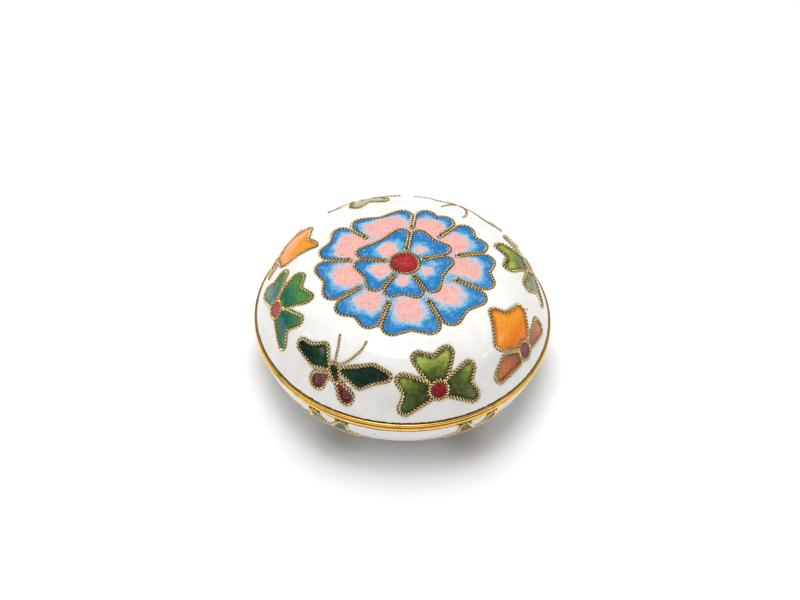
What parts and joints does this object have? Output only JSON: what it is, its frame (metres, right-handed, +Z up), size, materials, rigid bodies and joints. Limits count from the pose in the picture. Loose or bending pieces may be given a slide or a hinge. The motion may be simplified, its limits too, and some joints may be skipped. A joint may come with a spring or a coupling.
{
  "type": "cloisonne pill box",
  "caption": "Round domed trinket box with a lift-off lid; enamel cells between twisted wires on copper shells.",
  "frame": {"origin": "centre of the foot ring's resting face", "axes": "+Z up along the axis of the box, -Y towards the viewer"},
  "size_m": [0.05, 0.05, 0.0235],
  "materials": {
    "copper": "satin",
    "gilt_brass": "polished",
    "gilt_wire": "polished",
    "white_enamel": "gloss",
    "lining_enamel": "gloss",
    "blue_enamel": "gloss",
    "red_enamel": "gloss",
    "crimson_enamel": "gloss",
    "maroon_enamel": "gloss",
    "dark_green_enamel": "gloss",
    "teal_enamel": "gloss",
    "green_enamel": "gloss",
    "orange_enamel": "gloss",
    "amber_enamel": "gloss"
  },
  "bodies": {
    "base": {"base_shell": "copper", "base_rim": "gilt_brass", "base_collar": "gilt_brass", "foot_ring": "gilt_brass", "base_field_enamel": "white_enamel", "base_lining_enamel": "lining_enamel", "base_underside_enamel": "lining_enamel", "base_flower_1_wires": "gilt_wire", "base_flower_2_wires": "gilt_wire", "base_flower_3_wires": "gilt_wire", "base_flower_4_wires": "gilt_wire", "base_flower_5_wires": "gilt_wire", "base_flower_6_wires": "gilt_wire", "base_teal_leaves": "teal_enamel", "base_green_leaves": "green_enamel", "base_flower_centres": "red_enamel"},
    "lid": {"lid_shell": "copper", "lid_rim": "gilt_brass", "lid_field_enamel": "white_enamel", "lid_lining_enamel": "lining_enamel", "rosette_outer_wires": "gilt_wire", "rosette_inner_wires": "gilt_wire", "rosette_centre_ring": "gilt_wire", "rosette_outer_enamel": "blue_enamel", "rosette_inner_enamel": "blue_enamel", "rosette_centre_enamel": "red_enamel", "front_butterfly_wires": "gilt_wire", "front_butterfly_antennae": "gilt_wire", "front_butterfly_body": "dark_green_enamel", "front_butterfly_upper_wings": "dark_green_enamel", "front_butterfly_lower_wings": "maroon_enamel", "back_butterfly_wires": "gilt_wire", "back_butterfly_antennae": "gilt_wire", "back_butterfly_body": "dark_green_enamel", "back_butterfly_upper_wings": "dark_green_enamel", "back_butterfly_lower_wings": "maroon_enamel", "front_green_wires": "gilt_wire", "front_green_leaves": "green_enamel", "front_green_centre": "crimson_enamel", "right_green_wires": "gilt_wire", "right_green_leaves": "green_enamel", "right_green_centre": "crimson_enamel", "back_green_wires": "gilt_wire", "back_green_leaves": "green_enamel", "back_green_centre": "crimson_enamel", "left_teal_wires": "gilt_wire", "left_teal_leaves": "teal_enamel", "left_teal_centre": "red_enamel", "right_orange_wires": "gilt_wire", "right_orange_petal": "orange_enamel", "right_orange_side_petals": "amber_enamel", "right_orange_centre": "maroon_enamel", "left_orange_wires": "gilt_wire", "left_orange_petal": "orange_enamel", "left_orange_side_petals": "amber_enamel", "left_orange_centre": "maroon_enamel"}
  },
  "joints": [
    {"name": "lid_lift", "type": "slide", "parent": "base", "child": "lid", "axis": [0, 0, 1], "range_m": [0, 0.03]}
  ]
}
